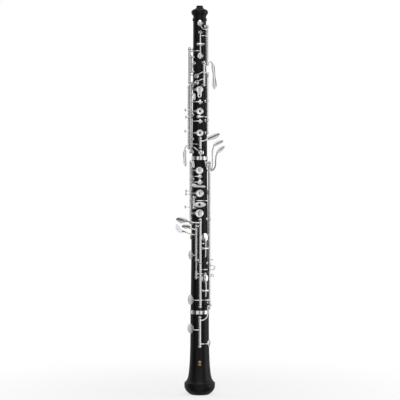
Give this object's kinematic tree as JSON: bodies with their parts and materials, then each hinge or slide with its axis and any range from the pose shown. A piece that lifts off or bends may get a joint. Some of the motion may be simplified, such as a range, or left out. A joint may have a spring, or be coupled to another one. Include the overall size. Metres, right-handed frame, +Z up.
{
  "type": "oboe",
  "caption": "Oboe in three wooden joints with plated full conservatoire keywork, hinged keys, pads and a flared bell.",
  "frame": {"origin": "on the bore axis in the plane of the bell's rim face", "axes": "+Z up the bore to the reed well, -Y towards the front where the keys are, +X to the right seen from the front"},
  "size_m": [0.075, 0.0528, 0.595],
  "materials": {
    "blackwood": "oiled satin",
    "silver_plate": "polished silver plate",
    "steel": "ground",
    "insert_brass": "turned",
    "cork": "natural cork",
    "pad_skin": "thin skin over felt or cork"
  },
  "bodies": {
    "body": {"bell": "blackwood", "bell_posts": "silver_plate", "bell_ring": "silver_plate", "hinge_rods": "steel", "lower_joint": "blackwood", "lower_joint_posts": "silver_plate", "lower_joint_ring": "silver_plate", "lower_tenon_cork": "cork", "needle_springs": "steel", "octave_inserts": "insert_brass", "thumb_rest": "silver_plate", "thumb_rest_screws": "steel", "upper_joint": "blackwood", "upper_joint_posts": "silver_plate", "upper_tenon_cork": "cork"},
    "side_octave_key": {"side_octave_key": "silver_plate", "side_octave_pads": "pad_skin"},
    "thumb_octave_key": {"thumb_octave_key": "silver_plate"},
    "third_octave_key": {"third_octave_key": "silver_plate", "third_octave_pads": "pad_skin"},
    "upper_trill_key": {"upper_trill_key": "silver_plate", "upper_trill_pads": "pad_skin"},
    "lower_trill_key": {"lower_trill_key": "silver_plate", "lower_trill_pads": "pad_skin"},
    "trill_lever": {"trill_lever": "silver_plate"},
    "right_trill_lever": {"right_trill_lever": "silver_plate"},
    "half_hole_key": {"half_hole_key": "silver_plate", "half_hole_pads": "pad_skin"},
    "left_second_key": {"left_second_key": "silver_plate", "left_second_pads": "pad_skin"},
    "left_third_key": {"left_third_key": "silver_plate", "left_third_pads": "pad_skin"},
    "g_sharp_cup_key": {"g_sharp_cup_key": "silver_plate", "g_sharp_cup_pads": "pad_skin"},
    "g_sharp_lever": {"g_sharp_lever": "silver_plate"},
    "right_first_key": {"right_first_key": "silver_plate", "right_first_pads": "pad_skin"},
    "right_second_key": {"right_second_key": "silver_plate", "right_second_pads": "pad_skin"},
    "right_third_key": {"right_third_key": "silver_plate", "right_third_pads": "pad_skin"},
    "f_key": {"f_key": "silver_plate"},
    "e_flat_lever": {"e_flat_lever": "silver_plate"},
    "c_key": {"c_key": "silver_plate", "c_pads": "pad_skin"},
    "c_sharp_key": {"c_sharp_key": "silver_plate"},
    "low_b_key": {"low_b_key": "silver_plate", "low_b_pads": "pad_skin"},
    "left_b_lever": {"left_b_lever": "silver_plate"},
    "left_b_flat_lever": {"left_b_flat_lever": "silver_plate"},
    "b_flat_key": {"b_flat_key": "silver_plate", "b_flat_pads": "pad_skin"},
    "octave_vent_key": {"octave_vent_key": "silver_plate", "octave_vent_pads": "pad_skin", "octave_vent_cork": "cork"},
    "e_flat_cup_key": {"e_flat_cup_key": "silver_plate", "e_flat_cup_pads": "pad_skin"},
    "c_sharp_cup_key": {"c_sharp_cup_key": "silver_plate", "c_sharp_cup_pads": "pad_skin"}
  },
  "joints": [
    {"name": "side_octave_key_hinge", "type": "hinge", "parent": "body", "child": "side_octave_key", "pos_m": [0.0121, -0.0066, 0.5624], "axis": [0, 0, 1], "range_deg": [0, 7]},
    {"name": "thumb_octave_key_hinge", "type": "hinge", "parent": "body", "child": "thumb_octave_key", "pos_m": [-0.0158, -0.001, 0.529], "axis": [0, 0, -1], "range_deg": [0, 4.5]},
    {"name": "third_octave_key_hinge", "type": "hinge", "parent": "body", "child": "third_octave_key", "pos_m": [-0.0134, -0.0045, 0.516], "axis": [0, 0, -1], "range_deg": [0, 9]},
    {"name": "upper_trill_key_hinge", "type": "hinge", "parent": "body", "child": "upper_trill_key", "pos_m": [0.0067, -0.0124, 0.507], "axis": [0, 0, 1], "range_deg": [0, 6.09]},
    {"name": "lower_trill_key_hinge", "type": "hinge", "parent": "body", "child": "lower_trill_key", "pos_m": [0.0067, -0.0124, 0.507], "axis": [0, 0, 1], "range_deg": [0, 4.48]},
    {"name": "trill_lever_hinge", "type": "hinge", "parent": "body", "child": "trill_lever", "pos_m": [0.0121, -0.0076, 0.49], "axis": [0, 0, -1], "range_deg": [0, 7]},
    {"name": "right_trill_lever_hinge", "type": "hinge", "parent": "body", "child": "right_trill_lever", "pos_m": [-0.0166, -0.0005, 0.4706], "axis": [0, 0, -1], "range_deg": [0, 6]},
    {"name": "half_hole_key_hinge", "type": "hinge", "parent": "body", "child": "half_hole_key", "pos_m": [-0.0137, -0.0064, 0.4735], "axis": [0, 0, 1], "range_deg": [0, 4]},
    {"name": "left_second_key_hinge", "type": "hinge", "parent": "body", "child": "left_second_key", "pos_m": [-0.0137, -0.0064, 0.4735], "axis": [0, 0, 1], "range_deg": [0, 4.5]},
    {"name": "left_third_key_hinge", "type": "hinge", "parent": "body", "child": "left_third_key", "pos_m": [-0.0137, -0.0064, 0.4735], "axis": [0, 0, 1], "range_deg": [0, 4.5]},
    {"name": "g_sharp_cup_key_hinge", "type": "hinge", "parent": "body", "child": "g_sharp_cup_key", "pos_m": [-0.0137, -0.0064, 0.4735], "axis": [0, 0, -1], "range_deg": [0, 4.2]},
    {"name": "g_sharp_lever_hinge", "type": "hinge", "parent": "body", "child": "g_sharp_lever", "pos_m": [0.001, -0.0153, 0.391], "axis": [0, 0, 1], "range_deg": [0, 7]},
    {"name": "right_first_key_hinge", "type": "hinge", "parent": "body", "child": "right_first_key", "pos_m": [-0.0137, -0.0082, 0.3552], "axis": [0, 0, 1], "range_deg": [0, 4.5]},
    {"name": "right_second_key_hinge", "type": "hinge", "parent": "body", "child": "right_second_key", "pos_m": [-0.0137, -0.0082, 0.3552], "axis": [0, 0, 1], "range_deg": [0, 4.5]},
    {"name": "right_third_key_hinge", "type": "hinge", "parent": "body", "child": "right_third_key", "pos_m": [-0.0137, -0.0082, 0.3552], "axis": [0, 0, 1], "range_deg": [0, 4.5]},
    {"name": "f_key_hinge", "type": "hinge", "parent": "body", "child": "f_key", "pos_m": [-0.0093, -0.0131, 0.3016], "axis": [0, 0, 1], "range_deg": [0, 5]},
    {"name": "e_flat_lever_hinge", "type": "hinge", "parent": "body", "child": "e_flat_lever", "pos_m": [0.0009, -0.0188, 0.2674], "axis": [0, 0, -1], "range_deg": [0, 5]},
    {"name": "c_key_hinge", "type": "hinge", "parent": "body", "child": "c_key", "pos_m": [-0.0051, -0.0159, 0.2574], "axis": [0, 0, -1], "range_deg": [0, 6]},
    {"name": "c_sharp_key_hinge", "type": "hinge", "parent": "body", "child": "c_sharp_key", "pos_m": [-0.0051, -0.0159, 0.2574], "axis": [0, 0, -1], "range_deg": [0, 8]},
    {"name": "low_b_key_hinge", "type": "hinge", "parent": "body", "child": "low_b_key", "pos_m": [0.0009, -0.0188, 0.2674], "axis": [0, 0, -1], "range_deg": [0, 4]},
    {"name": "left_b_lever_hinge", "type": "hinge", "parent": "body", "child": "left_b_lever", "pos_m": [0.0153, -0.0074, 0.3542], "axis": [0, 0, 1], "range_deg": [0, 10]},
    {"name": "left_b_flat_lever_hinge", "type": "hinge", "parent": "body", "child": "left_b_flat_lever", "pos_m": [0.0148, 0.0066, 0.3492], "axis": [0, 0, 1], "range_deg": [0, 4.5]},
    {"name": "b_flat_key_hinge", "type": "hinge", "parent": "body", "child": "b_flat_key", "pos_m": [0.0003, -0.018, 0.1188], "axis": [0, 0, -1], "range_deg": [0, 5.7]},
    {"name": "octave_vent_key_hinge", "type": "hinge", "parent": "body", "child": "octave_vent_key", "pos_m": [0.00096, -0.01367, 0.535], "axis": [-0.9976, -0.0698, 0], "range_deg": [0, 7.9]},
    {"name": "e_flat_cup_key_hinge", "type": "hinge", "parent": "body", "child": "e_flat_cup_key", "pos_m": [0.00922, -0.01367, 0.2236], "axis": [0.829, 0.5592, 0], "range_deg": [0, 5.95]},
    {"name": "c_sharp_cup_key_hinge", "type": "hinge", "parent": "body", "child": "c_sharp_cup_key", "pos_m": [0.00963, -0.01428, 0.1592], "axis": [0.829, 0.5592, 0], "range_deg": [0, 3.68]}
  ],
  "couplings": [
    {"joint": "octave_vent_key_hinge", "follows": "thumb_octave_key_hinge", "ratio": 1.7555},
    {"joint": "upper_trill_key_hinge", "follows": "trill_lever_hinge", "ratio": 0.87},
    {"joint": "lower_trill_key_hinge", "follows": "right_trill_lever_hinge", "ratio": 0.7466},
    {"joint": "g_sharp_cup_key_hinge", "follows": "g_sharp_lever_hinge", "ratio": 0.6},
    {"joint": "e_flat_cup_key_hinge", "follows": "e_flat_lever_hinge", "ratio": 1.19},
    {"joint": "c_sharp_cup_key_hinge", "follows": "c_sharp_key_hinge", "ratio": 0.46},
    {"joint": "low_b_key_hinge", "follows": "left_b_lever_hinge", "ratio": 0.4},
    {"joint": "b_flat_key_hinge", "follows": "left_b_flat_lever_hinge", "ratio": 1.2666}
  ]
}
